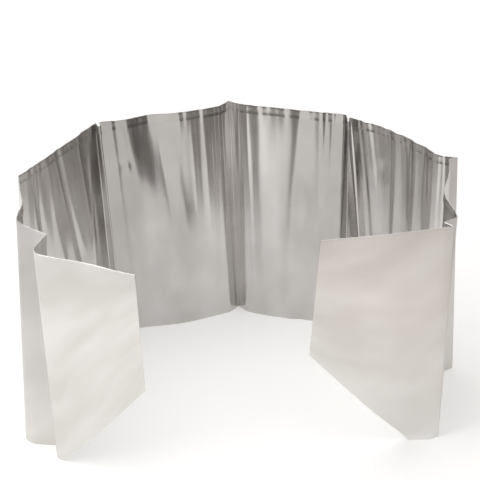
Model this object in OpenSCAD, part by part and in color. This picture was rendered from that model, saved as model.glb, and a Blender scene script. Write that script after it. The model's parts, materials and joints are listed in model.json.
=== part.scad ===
// Folding windscreen for a camping stove: one strip of soft aluminium sheet, creased across into
// eight panels and stood on its long edge as an open ring. The ring is open at the front, where
// the two end flaps turn inwards, and open above and below. Every crease stays pinched into two
// narrow lips with a sharp edge between them, and the sheet bends back softly beside the lips.
// The creases point in and out by turns, so the strip closes up zigzag into a flat pack.
//
// In plan the strip is followed from the free edge of the left flap, clockwise round the back, to
// the free edge of the right flap. The inside of the ring is then always on the right hand.

/* [Sheet] */
// Width of one panel from crease to crease, its lips included
panel_w = 105; // [95:1:140]
// Height of the screen
panel_h = 175; // [130:1:260]
// Thickness of the aluminium sheet
sheet_t = 0.2; // [0.1:0.05:0.4]
// Height of the hem that is turned in and pressed flat along the top edge
hem_h = 7; // [3:0.5:15]

/* [End flaps] */
// Direction of the left flap in plan, from its free edge, in degrees
flap_heading = 152; // [130:0.5:175]
// Width of the foot that the slanting cut leaves the left flap, from its bend line
left_foot_w = 4; // [2:1:30]
// Width of the foot that the slanting cut leaves the right flap, from its bend line
right_foot_w = 20; // [2:1:30]
// Height of the slanting cut at the free edge of each flap
flap_cut_h = 84; // [30:1:115]

/* [Fold clearances] */
// Half of the gap left between two lips, hems included, when their crease is pressed shut
fold_gap = 0.15; // [0.1:0.05:0.5]
// Gap between a round edge and the stretch of sheet that turns about it
turn_gap = 0.25; // [0.2:0.05:0.4]

/* [Crease 1, left flap, points in] */
// How far the ring turns at the crease, in degrees
turn_1 = 79; // [40:0.5:90]
// How far the two lips stay folded, in degrees
fold_1 = 114; // [60:1:150]
// Width of each lip
lip_1 = 27; // [8:1:30]

/* [Crease 2, left side, points out] */
// How far the ring turns at the crease, in degrees
turn_2 = 38; // [0:0.5:40]
// How far the two lips stay folded, in degrees
fold_2 = 55; // [45:1:150]
// Width of each lip
lip_2 = 9; // [8:1:25]

/* [Crease 3, left rear, points in] */
// How far the ring turns at the crease, in degrees
turn_3 = 41; // [20:0.5:60]
// How far the two lips stay folded, in degrees
fold_3 = 142; // [60:1:150]
// Width of each lip
lip_3 = 9; // [8:1:25]

/* [Crease 4, middle of the back, points out] */
// How far the ring turns at the crease, in degrees
turn_4 = 27; // [10:0.5:50]
// How far the two lips stay folded, in degrees
fold_4 = 70; // [60:1:150]
// Width of each lip
lip_4 = 13; // [8:1:25]

/* [Crease 5, right rear, points in] */
// How far the ring turns at the crease, in degrees
turn_5 = 37.5; // [20:0.5:60]
// How far the two lips stay folded, in degrees
fold_5 = 147; // [60:1:150]
// Width of each lip
lip_5 = 13; // [8:1:25]

/* [Crease 6, right side, points out] */
// How far the ring turns at the crease, in degrees
turn_6 = 58; // [20:0.5:60]
// How far the two lips stay folded, in degrees
fold_6 = 105; // [60:1:150]
// Width of each lip
lip_6 = 13; // [8:1:25]

/* [Crease 7, right flap, points in] */
// How far the ring turns at the crease, in degrees
turn_7 = 93; // [40:0.5:110]
// How far the two lips stay folded, in degrees
fold_7 = 141; // [60:1:150]
// Width of each lip
lip_7 = 12; // [8:1:25]

/* [Bow of the panels] */
// Left flap, degrees that it bows over its width, to the outside if positive
bow_1 = 9; // [-35:1:35]
// Left side panel
bow_2 = 13; // [-35:1:35]
// Left rear panel
bow_3 = 0; // [-35:1:35]
// Left back panel
bow_4 = 0; // [-35:1:35]
// Right back panel
bow_5 = 0; // [-35:1:35]
// Right rear panel
bow_6 = 2; // [-35:1:35]
// Right side panel
bow_7 = 31; // [-35:1:35]
// Right flap
bow_8 = -5; // [-35:1:35]

/* [Hidden] */
turns = [turn_1, turn_2, turn_3, turn_4, turn_5, turn_6, turn_7];
folds = [fold_1, fold_2, fold_3, fold_4, fold_5, fold_6, fold_7];
lips = [lip_1, lip_2, lip_3, lip_4, lip_5, lip_6, lip_7];
bows = [bow_1, bow_2, bow_3, bow_4, bow_5, bow_6, bow_7, bow_8];
last_crease = len(lips) - 1;
last_panel = len(bows) - 1;

// The hem doubles the sheet on the inside, so the doubled edge reaches this far from the middle
// of the sheet
hem_reach = 1.5 * sheet_t;
// The middle of a lip runs this far from the centre of the sharp edge that it turns about
edge_offset = fold_gap + hem_reach;
// Radius of the sharp edge of a crease, proud of the lips by half the sheet
edge_r = edge_offset + sheet_t;
// Radius of the soft bend line between a panel and a lip
bend_r = sheet_t;

foil_bright = [0.83, 0.82, 0.80];
foil_grey = [0.70, 0.69, 0.67];
bow_fn = 720;
edge_fn = 32;

// Odd creases (even index) turn to the left and point into the ring, the others to the right
function side(i) = i % 2 == 0 ? 1 : -1;
// What the sheet bends back at each side of a crease, so that the panels follow the ring
function bend(i) = (-turns[i] - side(i) * folds[i]) / 2;

// A place on the middle line of the sheet is [x, y, heading]
function ahead(p, d) = [p[0] + d * cos(p[2]), p[1] + d * sin(p[2]), p[2]];
function aside(p, d) = [p[0] - d * sin(p[2]), p[1] + d * cos(p[2]), p[2]];
function turned(p, a) = [p[0], p[1], p[2] + a];
// Radius of a stretch of the given length that turns by angle a, signed as the angle is
function bow_r(length, a) = length * 180 / (PI * a);
function bowed(p, length, a) =
    a == 0 ? ahead(p, length)
           : aside(turned(aside(p, bow_r(length, a)), a), -bow_r(length, a));

// Width of a panel between its bend lines; a flap has a free edge instead of one of them
function lip_before(i) = i == 0 ? 0 : lips[i - 1];
function lip_after(i) = i == last_panel ? 0 : lips[i];
function middle_w(i) = panel_w - lip_before(i) - lip_after(i);

// Places along the strip: a panel's two ends, then the crease that follows it
function panel_start(i) = i == 0 ? [0, 0, flap_heading] : turned(lip_b_end(i - 1), bend(i - 1));
function panel_end(i) = bowed(panel_start(i), middle_w(i), bows[i]);
function lip_a_start(i) = turned(panel_end(i), bend(i));
function edge(i) = aside(ahead(lip_a_start(i), lips[i]), side(i) * edge_offset);
function lip_b_start(i) = aside(turned(edge(i), side(i) * folds[i]), -side(i) * edge_offset);
function lip_b_end(i) = ahead(lip_b_start(i), lips[i]);

// The ring's extent in plan, and its centre, which is the origin
bow_steps = 24;
outline = [
    for (i = [0:last_panel], k = [0:bow_steps], reach = [-hem_reach, sheet_t / 2])
        aside(bowed(panel_start(i), middle_w(i) * k / bow_steps, bows[i] * k / bow_steps), reach),
    for (i = [0:last_crease], out = [-edge_r, edge_r])
        edge(i) + [out, out, 0]
];
ring_min = [min([for (p = outline) p[0]]), min([for (p = outline) p[1]])];
ring_max = [max([for (p = outline) p[0]]), max([for (p = outline) p[1]])];
ring_centre = (ring_min + ring_max) / 2;

// Moves a piece from the strip's start to its place in the ring, with +X along the sheet
module at(place) {
    translate([place[0] - ring_centre[0], place[1] - ring_centre[1], 0])
        rotate(place[2])
            children();
}

// Cross-section of the sheet with its hem: x to the left of the middle line, y up
module section() {
    polygon([
        [sheet_t / 2, 0],
        [sheet_t / 2, panel_h],
        [-hem_reach, panel_h],
        [-hem_reach, panel_h - hem_h],
        [-sheet_t / 2, panel_h - hem_h],
        [-sheet_t / 2, 0]
    ]);
}

// A flat stretch of sheet along +X
module flat_sheet(from, to) {
    translate([from, 0, 0])
        rotate([90, 0, 90])
            linear_extrude(to - from)
                section();
}

// A stretch of sheet that sets out along +X and bows by an angle over its full length
module bowed_sheet(length, angle, from, to) {
    if (angle == 0)
        flat_sheet(from, to);
    else {
        radius = bow_r(length, angle);
        lean = sign(angle);
        first = min(from * angle / length, to * angle / length);
        translate([0, radius, 0])
            rotate(first - 90 * lean)
                rotate_extrude(angle = abs(angle) * (to - from) / length, $fn = bow_fn)
                    translate([abs(radius), 0])
                        mirror([lean > 0 ? 1 : 0, 0])
                            section();
    }
}

// How far a panel stops short of a bend line, so that its hem clears the hem of the lip
function clear_of_bend(i) = max(bend_r, hem_reach * tan(abs(bend(i)) / 2)) + turn_gap;

// One panel between its two bend lines
module panel(i) {
    from = i == 0 ? 0 : clear_of_bend(i - 1);
    to = middle_w(i) - (i == last_panel ? 0 : clear_of_bend(i));
    at(panel_start(i))
        bowed_sheet(middle_w(i), bows[i], from, to);
}

// The wedge cut from a flap below its free edge
module flap_cut(free_edge, width) {
    overrun = 1;
    slope = flap_cut_h / width;
    at(free_edge)
        rotate([90, 0, 0])
            linear_extrude(panel_w, center = true)
                polygon([
                    [-overrun, -overrun],
                    [width + overrun / slope, -overrun],
                    [-overrun, flap_cut_h + overrun * slope]
                ]);
}

module flap(i, free_edge, foot_w) {
    difference() {
        panel(i);
        flap_cut(free_edge, middle_w(i) - foot_w);
    }
}

// The lip before a crease carries its sharp edge
module lip_a(i) {
    at(lip_a_start(i)) {
        flat_sheet(0, lips[i]);
        cylinder(r = bend_r, h = panel_h, $fn = edge_fn);
        translate([lips[i], side(i) * edge_offset, 0])
            cylinder(r = edge_r, h = panel_h, $fn = edge_fn);
    }
}

// The lip after a crease turns about that edge
module lip_b(i) {
    at(lip_b_start(i)) {
        flat_sheet(edge_r + turn_gap, lips[i]);
        translate([lips[i], 0, 0])
            cylinder(r = bend_r, h = panel_h, $fn = edge_fn);
    }
}

module left_flap() { color(foil_bright) flap(0, panel_start(0), left_foot_w); }
module left_side_panel() { color(foil_grey) panel(1); }
module left_rear_panel() { color(foil_grey) panel(2); }
module left_back_panel() { color(foil_grey) panel(3); }
module right_back_panel() { color(foil_grey) panel(4); }
module right_rear_panel() { color(foil_grey) panel(5); }
module right_side_panel() { color(foil_grey) panel(6); }
module right_flap() { color(foil_bright) flap(7, turned(panel_end(7), 180), right_foot_w); }
module crease_1_left_lip() { color(foil_bright) lip_a(0); }
module crease_1_right_lip() { color(foil_bright) lip_b(0); }
module crease_2_left_lip() { color(foil_grey) lip_a(1); }
module crease_2_right_lip() { color(foil_grey) lip_b(1); }
module crease_3_left_lip() { color(foil_grey) lip_a(2); }
module crease_3_right_lip() { color(foil_grey) lip_b(2); }
module crease_4_left_lip() { color(foil_grey) lip_a(3); }
module crease_4_right_lip() { color(foil_grey) lip_b(3); }
module crease_5_left_lip() { color(foil_grey) lip_a(4); }
module crease_5_right_lip() { color(foil_grey) lip_b(4); }
module crease_6_left_lip() { color(foil_grey) lip_a(5); }
module crease_6_right_lip() { color(foil_grey) lip_b(5); }
module crease_7_left_lip() { color(foil_bright) lip_a(6); }
module crease_7_right_lip() { color(foil_bright) lip_b(6); }

left_flap();
left_side_panel();
left_rear_panel();
left_back_panel();
right_back_panel();
right_rear_panel();
right_side_panel();
right_flap();
crease_1_left_lip();
crease_1_right_lip();
crease_2_left_lip();
crease_2_right_lip();
crease_3_left_lip();
crease_3_right_lip();
crease_4_left_lip();
crease_4_right_lip();
crease_5_left_lip();
crease_5_right_lip();
crease_6_left_lip();
crease_6_right_lip();
crease_7_left_lip();
crease_7_right_lip();
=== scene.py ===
import json
import math

import bpy
import numpy as np
from mathutils import Matrix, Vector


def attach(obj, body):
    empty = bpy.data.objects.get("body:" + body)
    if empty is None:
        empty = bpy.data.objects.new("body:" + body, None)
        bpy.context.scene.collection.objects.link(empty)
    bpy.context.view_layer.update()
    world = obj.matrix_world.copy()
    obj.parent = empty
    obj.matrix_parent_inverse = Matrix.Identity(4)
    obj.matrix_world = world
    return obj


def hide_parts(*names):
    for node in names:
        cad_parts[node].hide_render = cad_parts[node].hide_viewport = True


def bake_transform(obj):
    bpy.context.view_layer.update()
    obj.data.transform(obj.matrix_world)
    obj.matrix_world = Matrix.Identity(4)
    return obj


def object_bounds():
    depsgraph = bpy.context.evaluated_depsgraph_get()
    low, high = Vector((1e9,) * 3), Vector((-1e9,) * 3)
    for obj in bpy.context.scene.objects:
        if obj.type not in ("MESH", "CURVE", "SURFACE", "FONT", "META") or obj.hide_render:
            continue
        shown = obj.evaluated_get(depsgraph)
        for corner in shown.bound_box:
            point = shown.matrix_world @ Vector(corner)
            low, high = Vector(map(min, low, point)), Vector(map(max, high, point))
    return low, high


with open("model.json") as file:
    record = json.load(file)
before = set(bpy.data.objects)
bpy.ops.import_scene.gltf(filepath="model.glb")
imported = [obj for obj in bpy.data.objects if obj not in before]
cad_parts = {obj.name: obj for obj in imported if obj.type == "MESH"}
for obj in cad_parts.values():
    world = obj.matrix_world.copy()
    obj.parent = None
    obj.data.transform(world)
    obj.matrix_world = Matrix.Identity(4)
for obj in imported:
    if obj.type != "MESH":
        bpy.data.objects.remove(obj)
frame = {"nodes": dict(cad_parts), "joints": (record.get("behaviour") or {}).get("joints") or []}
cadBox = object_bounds()
mm = 0.001

# Camera at the photograph's viewing angle
photoCamera = {
    "place": (0.00075, -1.7113, 1.1174),
    "downDeg": 30.0,
    "rollDeg": -0.234,
    "lensMm": 210.0,
    "sensorMm": 36.0,
    "clipEnd": 50.0,
}


def addCamera(look):
    bpy.ops.object.camera_add()
    camera = bpy.context.active_object
    camera.name = "photoCamera"
    tilt = Matrix.Rotation(math.radians(90.0 - look["downDeg"]), 4, "X")
    roll = Matrix.Rotation(math.radians(look["rollDeg"]), 4, "Z")
    camera.matrix_world = Matrix.Translation(look["place"]) @ tilt @ roll
    camera.data.sensor_width = look["sensorMm"]
    camera.data.lens = look["lensMm"]
    camera.data.clip_end = look["clipEnd"]
    bpy.context.scene.camera = camera


bpy.ops.object.select_all(action="DESELECT")
addCamera(photoCamera)
print("camera set")


# Colours and nodes
def hexColour(code):
    channels = [int(code[i:i + 2], 16) / 255.0 for i in (1, 3, 5)]
    linear = [c / 12.92 if c <= 0.04045 else ((c + 0.055) / 1.055) ** 2.4 for c in channels]
    return (*linear, 1.0)


def addNode(tree, kind, settings=None, inputs=None):
    node = tree.nodes.new(kind)
    for name, value in (settings or {}).items():
        setattr(node, name, value)
    for socket, value in (inputs or {}).items():
        if isinstance(value, bpy.types.NodeSocket):
            tree.links.new(value, node.inputs[socket])
        else:
            node.inputs[socket].default_value = value
    return node


# A Mix node's colour sockets go by number: its two inputs and its output
mixUnder, mixOver, mixResult = 6, 7, 2
white = (1.0, 1.0, 1.0, 1.0)

# Rolled aluminium foil, soft, crumpled by handling: the streaks the eye sees are its flutes mirroring the
# room, and fine lines from the rolls run along the strip. One side left the rolls bright, the other dull; the
# bright side lies inside, and its colour is set darker as painted shade
foilBrightPaintedShade = {
    "name": "rolledAluminiumBrightSidePaintedShade",
    # painted shade: this inner colour is set darker than the outer side's, for the darker surroundings the
    # inside panels mirror
    "colour": "#CFCDCB",
    "smudge": "#C6C3C1",
    "roughness": (0.16, 0.17),
    "sheenStretch": 0.75,
    # width and height in mm, turn in degrees, detail; real roll lines are finer, these are drawn to show
    "patterns": {
        "smudge": (26.0, 40.0, 0.0, 2.0),
        "rollLine": (40.0, 0.5, 0.0, 2.0),
        "crumple": (11.0, 22.0, 0.0, 3.0),
        "streak": (2.4, 120.0, 0.0, 2.0),
    },
    "crumpleDepthMm": 0.02,
    "streakDepthMm": 0.012,
    # painted shade and reflection: darker tints where the panels mirror darker surroundings, by mm along the
    # strip and the tint there
    "paintedShade": [
        (0.0, "#FFFFFF"), (286.0, "#FFFFFF"), (302.0, "#D6D5D4"), (322.0, "#D6D5D4"),
        (330.0, "#E8E7E7"), (338.0, "#E2E1E0"), (356.0, "#E2E1E0"), (368.0, "#FAF9F9"),
        (436.0, "#FFFFFF"), (448.0, "#E4E3E2"), (483.0, "#E0DFDE"), (500.0, "#FFFFFF"),
    ],
    # painted shade towards the top edge: its tint, white on this side, so it darkens nothing here
    "paintedTopShade": "#FFFFFF",
}
foilDull = {
    "name": "rolledAluminiumDullSide",
    "colour": "#DDDBD8",
    "smudge": "#D1CECA",
    "roughness": (0.30, 0.32),
    "sheenStretch": 0.4,
    "patterns": {
        "smudge": (38.0, 90.0, 52.0, 2.0),
        "rollLine": (40.0, 0.6, 0.0, 2.0),
        "crumple": (12.0, 24.0, 0.0, 3.0),
        "streak": (3.0, 150.0, 0.0, 2.0),
    },
    "crumpleDepthMm": 0.02,
    "streakDepthMm": 0.008,
    # painted shade and reflection, as on the bright side: mm along the strip and the tint there
    "paintedShade": [
        (0.0, "#FFFFFF"), (74.0, "#FFFFFF"), (90.0, "#F2F1F1"), (110.0, "#DDDCDD"), (126.0, "#DFDEDF"),
        (142.0, "#F8F7F6"), (180.0, "#F8F7F6"), (300.0, "#E6E4E3"), (590.0, "#DEDBDA"), (680.0, "#D6D3D2"),
        (700.0, "#E4E1DF"), (712.0, "#F1EDEB"), (760.0, "#F9F5F3"), (801.0, "#F4F0EE"),
    ],
    # painted shade: the outside turns slightly darker towards the top edge
    "paintedTopShade": "#F3F2F2",
}
# The same on both sides
foilSheet = {
    # noise levels between which smudges and roll lines come and go
    "smudgeFade": (0.35, 0.65),
    "rollLineFade": (0.3, 0.7),
    # share of the painted shade that shows at the foot, and the height in mm from which all of it shows
    "paintedShadeAtFoot": 0.1,
    "paintedShadeFullMm": 110.0,
    # heights in mm between which the painted shade of the top edge comes in
    "heldMm": (110.0, 175.0),
    # the sheen stretches across the roll lines, a quarter turn
    "sheenTurn": 0.25,
}


def makeFoil(look):
    material = bpy.data.materials.new(look["name"])
    material.use_nodes = True
    tree = material.node_tree
    shader = tree.nodes["Principled BSDF"]
    shader.inputs["Metallic"].default_value = 1.0
    shader.inputs["Anisotropic"].default_value = look["sheenStretch"]
    shader.inputs["Anisotropic Rotation"].default_value = foilSheet["sheenTurn"]
    rollWay = addNode(tree, "ShaderNodeTangent", {"direction_type": "UV_MAP", "uv_map": "sheetMap"})
    tree.links.new(rollWay.outputs["Tangent"], shader.inputs["Tangent"])
    sheet = addNode(tree, "ShaderNodeUVMap", {"uv_map": "sheetMap"}).outputs["UV"]
    onSheet = addNode(tree, "ShaderNodeSeparateXYZ", None, {"Vector": sheet}).outputs
    noise = {}
    for name, (width, height, turnDeg, detail) in look["patterns"].items():
        place = addNode(tree, "ShaderNodeMapping", {"vector_type": "TEXTURE"}, {
            "Vector": sheet, "Rotation": (0.0, 0.0, math.radians(turnDeg)),
            "Scale": (width * mm, height * mm, 1.0)})
        noise[name] = addNode(tree, "ShaderNodeTexNoise", {"noise_dimensions": "2D"}, {
            "Vector": place.outputs["Vector"], "Scale": 1.0, "Detail": detail}).outputs["Fac"]

    # Colour: smudged metal, under the painted shade along the strip, under the painted shade towards the top
    # edge
    smudge = addNode(tree, "ShaderNodeValToRGB", None, {"Fac": noise["smudge"]})
    ends = smudge.color_ramp.elements
    for end, level, tint in zip(ends, foilSheet["smudgeFade"], (look["smudge"], look["colour"])):
        end.position = level
        end.color = hexColour(tint)
    # painted shade: darker tints by place along the strip
    paintedShade = addNode(tree, "ShaderNodeValToRGB", None, {"Fac": onSheet["X"]})
    tints = paintedShade.color_ramp.elements
    tints.remove(tints[1])
    tints[0].color = hexColour(look["paintedShade"][0][1])
    for place, tint in look["paintedShade"][1:]:
        tints.new(place * mm).color = hexColour(tint)
    paintedShadeShare = addNode(tree, "ShaderNodeMapRange", None, {
        "Value": onSheet["Y"], "From Min": 0.0, "From Max": foilSheet["paintedShadeFullMm"] * mm,
        "To Min": foilSheet["paintedShadeAtFoot"], "To Max": 1.0})
    multiply = {"data_type": "RGBA", "blend_type": "MULTIPLY"}
    paintedShaded = addNode(tree, "ShaderNodeMix", multiply, {
        "Factor": paintedShadeShare.outputs["Result"], mixUnder: smudge.outputs["Color"], mixOver: paintedShade.outputs["Color"]})
    # painted shade: darker towards the top edge
    held = addNode(tree, "ShaderNodeMapRange", {"interpolation_type": "SMOOTHSTEP"}, {
        "Value": onSheet["Y"],
        "From Min": foilSheet["heldMm"][0] * mm, "From Max": foilSheet["heldMm"][1] * mm})
    paintedTopShade = addNode(tree, "ShaderNodeMix", multiply, {
        "Factor": held.outputs["Result"], mixUnder: paintedShaded.outputs[mixResult],
        mixOver: hexColour(look["paintedTopShade"])})
    tree.links.new(paintedTopShade.outputs[mixResult], shader.inputs["Base Color"])

    # Gloss along the roll lines, then the crumples and streaks
    gloss = addNode(tree, "ShaderNodeMapRange", None, {
        "Value": noise["rollLine"],
        "From Min": foilSheet["rollLineFade"][0], "From Max": foilSheet["rollLineFade"][1],
        "To Min": look["roughness"][0], "To Max": look["roughness"][1]})
    tree.links.new(gloss.outputs["Result"], shader.inputs["Roughness"])
    crumples = addNode(tree, "ShaderNodeBump", None, {
        "Height": noise["crumple"], "Distance": look["crumpleDepthMm"] * mm, "Strength": 1.0})
    streaks = addNode(tree, "ShaderNodeBump", None, {
        "Height": noise["streak"], "Normal": crumples.outputs["Normal"],
        "Distance": look["streakDepthMm"] * mm, "Strength": 1.0})
    tree.links.new(streaks.outputs["Normal"], shader.inputs["Normal"])
    return material


brightSidePaintedShade = makeFoil(foilBrightPaintedShade)
dullSide = makeFoil(foilDull)
print("materials made")

# The strip: one sheet that runs from the left flap's free edge to the right flap's, over 21 bend lines
strip = {
    "panels": ["left_flap", "left_side_panel", "left_rear_panel", "left_back_panel",
               "right_back_panel", "right_rear_panel", "right_side_panel", "right_flap"],
    "sheet": 0.25 * mm,
    # the hem: its depth, the round of its fold, and height and reach of its lower edge, which springs open
    "hemDepth": 7.0 * mm,
    "hemFoldRadius": 0.22 * mm,
    "hemSpring": (1.6 * mm, 0.18 * mm),
    # radius in mm of the left bend, the pinched tip and the right bend of each crease; a pair is top and foot
    "radius": [
        ((9.0, 4.0), 0.6, 11.0), (3.0, 0.6, 2.5), (0.8, 0.5, 0.8), (9.0, 0.6, 9.0),
        (3.5, 0.5, 0.9), (7.0, 0.6, 2.0), (3.0, 0.6, 1.0),
    ],
    # where handling has pushed each bend off its straight line: mm across and back, top edge then foot
    "settle": [
        [((-1, -1), (10.5, 12)), ((-2.5, -1), (1, 3)), ((3.3, 15), (2.6, 5))],
        [((0.2, -1), (1, 0)), ((0, 3), (1, 2)), ((0.2, 3.6), (1, 1.5))],
        [((-2, 3.5), (9, -3)), ((-5, -3), (11, -5)), ((-5.5, 0), (5.5, -6))],
        [((2, 1.5), (9, -2)), ((-1, 3), (6, 0)), ((-4, 4.5), (1, -2))],
        [((-3.5, 1.5), (-9, -6)), ((-0.5, -2), (0, -5)), ((-8.5, 1.3), (5, -5))],
        [((4, -1.5), (0, -1)), ((2.8, 3.4), (3.2, 0)), ((2, 11), (1.6, 4))],
        [((0.7, 5.4), (-7, 4)), ((3.2, -2.7), (-1, 2)), ((2.8, 0.8), (-2, 5))],
    ],
    # the same for the two free edges
    "settleEnds": [((-1, 0), (9, 0)), ((2, 0), (-11, 0))],
    # mm of sheet before and after each bend's round that goes to the crease's pieces, not the panels
    "curlZone": [
        [(10.0, 7.0), (7.0, 1.0), (9.0, -4.0)],
        [(1.0, 1.0), (6.0, 4.0), (4.0, 5.0)],
        [(10.0, 2.3), (2.3, 1.0), (2.2, 1.0)],
        [(18.0, 4.0), (4.0, 1.0), (1.0, 1.0)],
        [(5.0, 4.6), (4.6, 1.0), (4.0, 1.0)],
        [(18.0, 3.8), (3.8, 1.0), (3.0, 0.0)],
        [(5.0, 2.6), (2.6, 1.0), (3.0, 1.0)],
    ],
    # the shortest stretch that takes a whole turn, and the sheet between a curl and its panel's seam
    "leastTurn": 0.25 * mm,
    "seamMargin": 5.0 * mm,
    # the flaps' slanted cut: its height at the free edge, and the foot left on the left and right flap
    "flapCutHeight": 84.0 * mm,
    "footWidth": (4.0 * mm, 20.0 * mm),
    # mesh: columns along the strip, rows up it with closer ones at the foot, and the rounds of bends and hem
    "panelStep": 1.0 * mm,
    "bendStep": 0.7 * mm,
    "tipColumns": 11,
    "rowStep": 2.5 * mm,
    "footStep": 1.2 * mm,
    "footBand": 10.0 * mm,
    "arcSteps": 20,
    "arcRoom": 0.8,
    "hemFoldDeg": [36, 72, 108, 144, 180],
    "hemRows": 5,
    "probeStep": 0.2 * mm,
    "smoothDeg": 40.0,
}
joints = {joint["name"]: np.array(joint["pos_m"][:2]) for joint in frame["joints"]}
creaseCount = len(strip["panels"]) - 1
sheetHeight = cadBox[1].z - 0.5 * strip["sheet"]


def planVertices(node):
    mesh = frame["nodes"][node].data
    places = np.empty(len(mesh.vertices) * 3)
    mesh.vertices.foreach_get("co", places)
    return places.reshape(-1, 3)[:, :2]


def freeEdge(node, foldLine):
    places = planVertices(node)
    return places[np.argmax(np.linalg.norm(places - foldLine, axis=1))]


def bowDepth(node, start, end):
    along = (end - start) / np.linalg.norm(end - start)
    inward = np.array([along[1], -along[0]])
    depths = (planVertices(node) - start) @ inward
    return depths[np.argmax(np.abs(depths))]


# The bend lines of the solids in plan, from free edge to free edge
bendLines = [joints[f"crease_{crease}_{part}"] for crease in range(1, creaseCount + 1)
             for part in ("left_bend", "fold", "right_bend")]
stops = [freeEdge(strip["panels"][0], bendLines[0])] + bendLines
stops.append(freeEdge(strip["panels"][-1], bendLines[-1]))
panelBows = [bowDepth(name, stops[3 * i], stops[3 * i + 1]) for i, name in enumerate(strip["panels"])]


def roundCorner(before, corner, after, radius):
    into = (corner - before) / np.linalg.norm(corner - before)
    out = (after - corner) / np.linalg.norm(after - corner)
    turn = math.atan2(into[0] * out[1] - into[1] * out[0], into @ out)
    room = strip["arcRoom"] * min(np.linalg.norm(corner - before), np.linalg.norm(after - corner))
    tangent = min(radius * math.tan(abs(turn) / 2.0), room)
    radius = tangent / math.tan(abs(turn) / 2.0)
    side = math.copysign(1.0, turn)
    centre = corner - into * tangent + side * radius * np.array([-into[1], into[0]])
    angles = math.atan2(into[1], into[0]) + turn * np.linspace(0.0, 1.0, strip["arcSteps"] + 1)
    return centre + side * radius * np.stack([np.sin(angles), -np.cos(angles)], axis=1)


# The strip's line in plan at its top edge (level 0) or at its foot (level 1)
def layPlan(level):
    moves = [strip["settleEnds"][0]] + [move for crease in strip["settle"] for move in crease]
    moves.append(strip["settleEnds"][1])
    places = [stop + np.array(move[level]) * mm for stop, move in zip(stops, moves)]
    radii = [(radius[level] if isinstance(radius, tuple) else radius) * mm
             for crease in strip["radius"] for radius in crease]
    arcs = [roundCorner(places[i], places[i + 1], places[i + 2], radii[i]) for i in range(len(radii))]
    return np.concatenate([places[0][None, :]] + arcs + [places[-1][None, :]])


# Places along the strip, u, are lengths of its line at half height
topPlan = layPlan(0)
footPlan = layPlan(1)
middlePlan = 0.5 * (topPlan + footPlan)
planLength = np.concatenate([[0.0], np.cumsum(np.linalg.norm(np.diff(middlePlan, axis=0), axis=1))])
stripLength = planLength[-1]
arcSize = strip["arcSteps"] + 1
bends = [(planLength[1 + i * arcSize], planLength[(i + 1) * arcSize]) for i in range(len(bendLines))]
panelSpans = []
for i in range(len(strip["panels"])):
    start = bends[3 * i - 1][1] if i else 0.0
    end = bends[3 * i][0] if i < creaseCount else stripLength
    panelSpans.append((start, end))
print("strip laid out, panels at", [[round(end / mm) for end in span] for span in panelSpans], "mm")


def alongPlan(plan, u):
    return np.stack([np.interp(u, planLength, plan[:, 0]), np.interp(u, planLength, plan[:, 1])], axis=-1)


def planAt(u, z):
    up = (z / sheetHeight)[..., None]
    return up * alongPlan(topPlan, u) + (1.0 - up) * alongPlan(footPlan, u)


def inwardAt(u, z):
    step = strip["probeStep"]
    along = planAt(np.minimum(u + step, stripLength), z) - planAt(np.maximum(u - step, 0.0), z)
    along /= np.linalg.norm(along, axis=-1, keepdims=True)
    return np.stack([along[..., 1], -along[..., 0]], axis=-1)


# Soft flutes that folding has left in the sheet: panel, share of its width at the top and at the foot,
# half width in mm, depth in mm (inwards positive), and the shares of the height between which it fades in
flutes = [
    (0, 0.25, 0.30, 14.0, -0.5, 0.2, 0.8),
    (1, 0.40, 0.45, 9.0, 0.8, 0.0, 0.8),
    (2, 0.05, 0.41, 3.0, -0.5, 0.0, 0.3),
    (2, 0.27, 0.55, 3.5, 0.5, 0.0, 0.5),
    (2, 0.43, 0.83, 3.0, -0.6, 0.0, 0.4),
    (2, 0.70, 0.95, 6.0, 0.5, 0.1, 0.8),
    (2, 0.80, 0.95, 2.5, -0.35, 0.2, 0.8),
    (3, 0.45, 0.60, 29.0, 4.2, -0.2, -0.1),
    (3, 0.44, 0.66, 17.5, -5.6, 0.36, 0.92),
    (3, 0.24, 0.30, 5.0, 0.5, 0.3, 0.9),
    (3, 0.06, 0.12, 5.0, -0.5, 0.0, 0.5),
    (3, 0.15, 0.20, 4.0, 0.4, 0.0, 0.5),
    (3, 0.56, 0.80, 4.0, 0.3, 0.2, 0.5),
    (3, 0.62, 0.98, 4.0, -0.2, 0.6, 0.2),
    (3, 0.90, 0.92, 2.5, 0.4, 0.0, 0.3),
    (4, 0.40, 0.32, 24.0, 2.5, 0.8, 0.1),
    (4, 0.16, 0.16, 4.0, 0.5, 0.0, 0.3),
    (4, 0.33, 0.36, 5.0, -0.5, 0.9, 0.1),
    (4, 0.58, 0.42, 3.5, 0.5, 0.1, 0.5),
    (4, 0.66, 0.60, 6.0, -0.7, 0.9, 0.3),
    (4, 0.78, 0.85, 3.5, 0.5, 0.2, 0.6),
    (5, 0.42, 0.50, 25.0, -5.4, 0.0, 0.9),
    (5, 0.90, 0.90, 6.0, 1.6, 0.0, 0.9),
    (5, 0.12, 0.25, 2.5, 0.4, 0.0, 0.4),
    (5, 0.24, 0.30, 5.0, -0.7, 0.3, 0.8),
    (5, 0.45, 0.40, 3.0, 0.7, 0.0, 0.3),
    (5, 0.60, 0.55, 6.0, -0.5, 0.3, 0.8),
    (5, 0.68, 0.62, 2.5, 0.5, 0.3, 0.7),
    (5, 0.80, 0.72, 6.0, -0.6, 0.4, 0.8),
    (6, 0.68, 0.60, 15.0, 1.8, 0.0, 0.8),
    (6, 0.30, 0.35, 16.0, -1.6, 0.0, 0.8),
    (7, 0.55, 0.35, 12.0, 0.5, 0.9, 0.3),
    (7, 0.24, 0.24, 16.0, 4.5, 0.4, 0.0),
]
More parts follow.
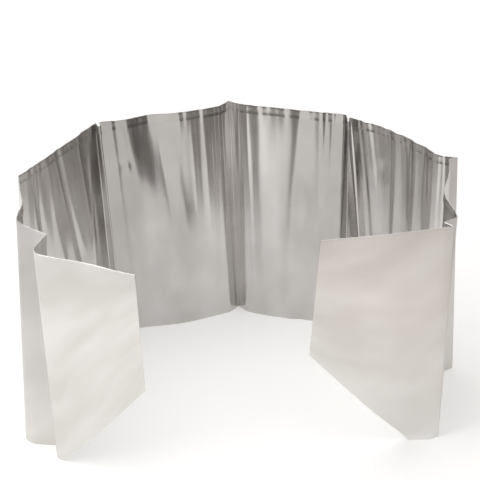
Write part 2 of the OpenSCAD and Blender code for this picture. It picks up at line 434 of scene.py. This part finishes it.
# Finer lines beside the creases: crease, mm from its tip at the top and at the foot,
# half width in mm and depth in mm
creaseLines = [
    (3, -16.0, -24.0, 1.5, 0.22),
    (3, 15.0, 20.0, 1.6, -0.22),
    (3, 21.0, 34.0, 1.8, 0.22),
    (4, -19.0, -19.0, 1.5, 0.25),
    (4, -14.0, -15.0, 1.3, -0.25),
    (4, -6.5, -6.0, 1.1, 0.20),
    (4, -3.0, -2.5, 0.9, -0.18),
    (4, 3.5, 3.0, 0.9, 0.18),
    (4, 7.0, 6.0, 1.1, -0.20),
    (4, 14.5, 16.0, 1.4, 0.25),
    (5, -25.0, -30.0, 1.6, -0.25),
    (5, -20.0, -24.0, 1.5, 0.25),
    (5, 18.0, 24.0, 1.5, -0.22),
    (5, 24.0, 36.0, 1.8, 0.25),
    (6, -17.0, -18.0, 1.6, 0.25),
    (6, -23.0, -26.0, 1.8, -0.22),
    (2, 15.0, 24.0, 1.4, 0.25),
    (2, 20.0, 33.0, 1.5, -0.25),
]
# Faint flutes all over the panels, fading in upwards, downwards or hardly at all
fineFlutes = {
    "seed": 11,
    "perPanel": 14,
    "placeShare": (0.04, 0.96),
    "leanShare": 0.10,
    "fades": [(0.1, 0.9), (0.9, 0.1), (-0.2, 0.1)],
    "halfWidthMm": (1.2, 3.2),
    "depthMm": 0.11,
}
# Small knocks: panel, share of its width and of the height, half width and half height in mm, depth in mm
dents = [
    (3, 0.19, 0.77, 4.0, 6.5, 0.40),
    (5, 0.30, 0.80, 5.0, 9.0, -0.35),
    (4, 0.62, 0.55, 7.0, 22.0, -0.5),
]
# The right flap's foot has been rubbed outwards: how far out, up to what height and how soon from its crease
curledFoot = {"outMm": 2.4, "upMm": 7.0, "fadeMm": 6.0}
# The pressed hem is crumpled: wave lengths in mm and height in mm, dying out below the top edge
hemWaves = {"lengthsMm": (23.0, 11.0, 6.5), "heightMm": 0.07, "reachMm": 9.0}


def fadeIn(low, high, value):
    share = np.clip((value - low) / (high - low), 0.0, 1.0)
    return share * share * (3.0 - 2.0 * share)


def scatterFlutes(look):
    chance = np.random.default_rng(look["seed"])
    made = []
    for panel in range(len(strip["panels"])):
        for place in chance.uniform(*look["placeShare"], look["perPanel"]):
            lean = chance.uniform(-1.0, 1.0) * look["leanShare"]
            low, high = chance.choice(look["fades"])
            made.append((panel, place + lean, place - lean, chance.uniform(*look["halfWidthMm"]),
                         chance.uniform(-1.0, 1.0) * look["depthMm"], low, high))
    return made


allFlutes = flutes + scatterFlutes(fineFlutes)


def ridge(u, centre, halfWidth, deep):
    return deep * mm * np.exp(-((u - centre) / (halfWidth * mm)) ** 2)


# How far the sheet stands in from its plan: bows, flutes, lines, knocks, the rubbed foot and the hem's waves
def standOff(u, z):
    up = z / sheetHeight
    depth = np.zeros(np.broadcast(u, z).shape)
    for (start, end), bow in zip(panelSpans, panelBows):
        share = np.clip((u - start) / (end - start), 0.0, 1.0)
        depth = depth + bow * np.sin(math.pi * share) ** 2
    for panel, atTop, atFoot, halfWidth, deep, low, high in allFlutes:
        start, end = panelSpans[panel]
        centre = start + (end - start) * (up * atTop + (1.0 - up) * atFoot)
        depth = depth + ridge(u, centre, halfWidth, deep) * fadeIn(low, high, up)
    for crease, atTop, atFoot, halfWidth, deep in creaseLines:
        tip = 0.5 * sum(bends[3 * crease - 2])
        depth = depth + ridge(u, tip + (up * atTop + (1.0 - up) * atFoot) * mm, halfWidth, deep)
    for panel, across, height, halfWidth, halfHeight, deep in dents:
        start, end = panelSpans[panel]
        away = ((u - start - (end - start) * across) / (halfWidth * mm)) ** 2
        away = away + ((z - sheetHeight * height) / (halfHeight * mm)) ** 2
        depth = depth + deep * mm * (1.0 - away) * np.exp(-away)
    lift = np.clip(1.0 - z / (curledFoot["upMm"] * mm), 0.0, 1.0) ** 2
    onFlap = fadeIn(0.0, curledFoot["fadeMm"] * mm, u - panelSpans[-1][0])
    depth = depth - curledFoot["outMm"] * mm * lift * onFlap
    nearTop = np.exp(-(sheetHeight - z) / (hemWaves["reachMm"] * mm))
    for i, length in enumerate(hemWaves["lengthsMm"]):
        depth = depth + hemWaves["heightMm"] * mm * nearTop * np.sin(2.0 * math.pi * u / (length * mm) + i)
    return depth


# Rows run up the sheet, over the top fold and down the hem on the inside: height and distance inwards
def sheetRows():
    radius = strip["hemFoldRadius"]
    top = sheetHeight - radius
    foot = strip["footBand"]
    steps = int((top - foot) / strip["rowStep"])
    footHeights = np.arange(0.0, foot, strip["footStep"])[:-1]
    heights = np.concatenate([footHeights, np.linspace(foot, top, steps + 1)])
    rows = [(z, 0.0) for z in heights]
    for angle in np.radians(strip["hemFoldDeg"]):
        rows.append((top + radius * math.sin(angle), radius * (1.0 - math.cos(angle))))
    hemEdge = sheetHeight - strip["hemDepth"]
    for z in np.linspace(top, hemEdge + strip["hemSpring"][0], strip["hemRows"])[1:]:
        rows.append((z, 2.0 * radius))
    rows.append((hemEdge, 2.0 * radius + strip["hemSpring"][1]))
    return np.array(rows), len(heights) - 1


rows, hemRow = sheetRows()
rowLength = np.concatenate([[0.0], np.cumsum(np.linalg.norm(np.diff(rows, axis=0), axis=1))])


# The flaps' lower corners are cut away on a slant
def lowestAt(u):
    leftFoot = panelSpans[0][1] - strip["footWidth"][0]
    rightFoot = panelSpans[-1][0] + strip["footWidth"][1]
    left = strip["flapCutHeight"] * (leftFoot - u) / leftFoot
    right = strip["flapCutHeight"] * (u - rightFoot) / (stripLength - rightFoot)
    return np.maximum(np.maximum(left, right), 0.0)


def sheetPlace(u, row):
    z, layer = row[..., 0], row[..., 1]
    lowest = lowestAt(u)
    z = lowest + z * (sheetHeight - lowest) / sheetHeight
    plan = planAt(u, z) + inwardAt(u, z) * (standOff(u, z) + layer)[..., None]
    return np.concatenate([plan, z[..., None]], axis=-1)


# A grid is laid on the sheet, mapped by its flat length and height, and given the sheet's thickness
def makeSheet(name, columns):
    bpy.ops.object.select_all(action="DESELECT")
    across, up = len(columns), len(rows)
    bpy.ops.mesh.primitive_grid_add(x_subdivisions=across - 1, y_subdivisions=up - 1, size=1.0)
    piece = bpy.context.active_object
    piece.name = piece.data.name = name
    mesh = piece.data
    flat = np.empty(len(mesh.vertices) * 3)
    mesh.vertices.foreach_get("co", flat)
    flat = flat.reshape(-1, 3)
    column = np.rint((flat[:, 0] + 0.5) * (across - 1)).astype(int)
    row = np.rint((flat[:, 1] + 0.5) * (up - 1)).astype(int)
    mesh.vertices.foreach_set("co", sheetPlace(columns[column], rows[row]).ravel())
    sheetMap = mesh.uv_layers[0]
    sheetMap.name = "sheetMap"
    corner = np.empty(len(mesh.loops), dtype=np.int32)
    mesh.loops.foreach_get("vertex_index", corner)
    flatPlace = np.stack([columns[column[corner]], rowLength[row[corner]]], axis=1)
    sheetMap.data.foreach_set("uv", flatPlace.ravel())
    # inside and outside of the sheet, the inside's colour darkened as painted shade, then both sides of the
    # pressed hem
    sheetSlot, hemSlot = 0, 2
    for side in (brightSidePaintedShade, dullSide, brightSidePaintedShade, brightSidePaintedShade):
        mesh.materials.append(side)
    for face in mesh.polygons:
        face.material_index = hemSlot if min(row[v] for v in face.vertices) > hemRow + 1 else sheetSlot
    mesh.update()
    solidify = piece.modifiers.new("sheet", "SOLIDIFY")
    solidify.thickness = strip["sheet"]
    solidify.offset = 0.0
    solidify.material_offset = 1
    solidify.material_offset_rim = 1
    bpy.ops.object.modifier_apply(modifier=solidify.name)
    bpy.ops.object.shade_smooth_by_angle(angle=math.radians(strip["smoothDeg"]))
    return piece


def spread(start, end, step):
    return np.linspace(start, end, max(2, int(math.ceil((end - start) / step)) + 1))


# The line along which a bend's turn would be shared out across its round and the sheet beside it, along the
# lean of the bend
# line: two points inside the piece's two seams at every height. The calls below don't use it, so no piece is
# turned
def turnAcross(bend, zone, seams):
    start = alongPlan(middlePlan, np.array(bend[0] - zone[0] * mm))
    end = alongPlan(middlePlan, np.array(bend[1] + zone[1] * mm))
    centre = 0.5 * (bend[0] + bend[1])
    lean = alongPlan(topPlan, centre) - alongPlan(footPlan, centre)
    rise = -((end - start) @ lean) / sheetHeight
    way = np.array([*(end - start), rise])
    reach = np.linalg.norm(way)
    way /= reach
    base = np.array([*start, 0.5 * (sheetHeight - rise)])
    sheetEdge = rows[:hemRow + 1]
    before, after = [(sheetPlace(np.full(len(sheetEdge), u), sheetEdge) - base) @ way for u in seams]
    first = max(0.0, before.max())
    last = max(min(reach, after.min()), first + strip["leastTurn"])
    return tuple((base + first * way).tolist()), tuple((base + last * way).tolist())


margin = strip["seamMargin"]
zones = strip["curlZone"]
for i, name in enumerate(strip["panels"]):
    start, end = panelSpans[i]
    start += margin + zones[i - 1][2][1] * mm if i else 0.0
    end -= margin + zones[i][0][0] * mm if i < creaseCount else 0.0
    panel = makeSheet(name + "_foil", spread(start, end, strip["panelStep"]))
    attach(panel, name)
    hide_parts(name)
print("panels made")

# Each crease is three pieces, which meet halfway along its two lips
for crease in range(1, creaseCount + 1):
    left, tip, right = bends[3 * crease - 3:3 * crease]
    lips = [f"crease_{crease}_left_lip", f"crease_{crease}_right_lip"]
    leftMid = 0.5 * (left[1] + tip[0])
    rightMid = 0.5 * (tip[1] + right[0])
    leftZone, tipZone, rightZone = zones[crease - 1]
    leftEnd = left[0] - margin - leftZone[0] * mm
    rightEnd = right[1] + margin + rightZone[1] * mm
    columns = spread(leftEnd, leftMid, strip["bendStep"])
    piece = makeSheet(f"crease_{crease}_left_bend_foil", columns)
    turnAcross(left, leftZone, (leftEnd, leftMid))
    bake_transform(piece)
    columns = np.concatenate([
        spread(leftMid, tip[0], strip["bendStep"])[:-1],
        np.linspace(tip[0], tip[1], strip["tipColumns"]),
        spread(tip[1], rightMid, strip["bendStep"])[1:],
    ])
    piece = makeSheet(f"crease_{crease}_tip_foil", columns)
    turnAcross(tip, tipZone, (leftMid, rightMid))
    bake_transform(piece)
    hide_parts(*lips)
    columns = spread(rightMid, rightEnd, strip["bendStep"])
    piece = makeSheet(f"crease_{crease}_right_bend_foil", columns)
    turnAcross(right, rightZone, (rightMid, rightEnd))
    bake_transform(piece)
print("creases made")

# Studio: pale paper floor, white behind, soft boxes
studio = {
    "floorSize": 8.0,
    "floor": "#EDECEA",
    "floorRoughness": 0.9,
    # glow of the floor, and strength of the world where it only lights
    "lift": 0.25,
    "world": 0.55,
    # name, place and size in metres, watts
    "lamps": [
        ("overheadBox", (-0.3, 0.1, 1.6), 1.6, 13.0),
        ("leftBox", (-1.6, -0.9, 1.0), 1.2, 12.0),
        ("rightBox", (1.7, -0.6, 0.8), 1.0, 0.5),
    ],
}


# 1 where the camera, metal or glass sees the background
def seenRays(tree):
    path = addNode(tree, "ShaderNodeLightPath")
    seen = addNode(tree, "ShaderNodeMath", {"operation": "MAXIMUM"},
                   {0: path.outputs["Is Camera Ray"], 1: path.outputs["Is Glossy Ray"]})
    return addNode(tree, "ShaderNodeMath", {"operation": "MAXIMUM"},
                   {0: seen.outputs["Value"], 1: path.outputs["Is Transmission Ray"]}).outputs["Value"]


def makeFloor(look):
    bpy.ops.object.select_all(action="DESELECT")
    bpy.ops.mesh.primitive_plane_add(size=look["floorSize"], location=(0.0, 0.0, 0.0))
    floor = bpy.context.active_object
    floor.name = "studioFloor"
    material = bpy.data.materials.new("matt paper")
    material.use_nodes = True
    tree = material.node_tree
    shader = tree.nodes["Principled BSDF"]
    shader.inputs["Base Color"].default_value = hexColour(look["floor"])
    shader.inputs["Roughness"].default_value = look["floorRoughness"]
    shader.inputs["Specular IOR Level"].default_value = 0.0
    shader.inputs["Emission Color"].default_value = white
    lift = addNode(tree, "ShaderNodeMath", {"operation": "MULTIPLY"}, {0: seenRays(tree), 1: look["lift"]})
    tree.links.new(lift.outputs["Value"], shader.inputs["Emission Strength"])
    floor.data.materials.append(material)


def makeWorld(look):
    world = bpy.data.worlds.new("studioWorld")
    bpy.context.scene.world = world
    world.use_nodes = True
    tree = world.node_tree
    background = tree.nodes["Background"]
    background.inputs["Color"].default_value = white
    level = addNode(tree, "ShaderNodeMapRange", None,
                    {"Value": seenRays(tree), "To Min": look["world"], "To Max": 1.0})
    tree.links.new(level.outputs["Result"], background.inputs["Strength"])


def addLamp(name, place, size, watts):
    bpy.ops.object.light_add(type="AREA", location=place)
    lamp = bpy.context.active_object
    lamp.name = name
    lamp.data.shape = "SQUARE"
    lamp.data.size = size
    lamp.data.energy = watts
    lamp.rotation_euler = (-lamp.location).to_track_quat("-Z", "Y").to_euler()


makeFloor(studio)
makeWorld(studio)
for lamp in studio["lamps"]:
    addLamp(*lamp)
bpy.context.scene.view_settings.view_transform = "Standard"
print("studio set")
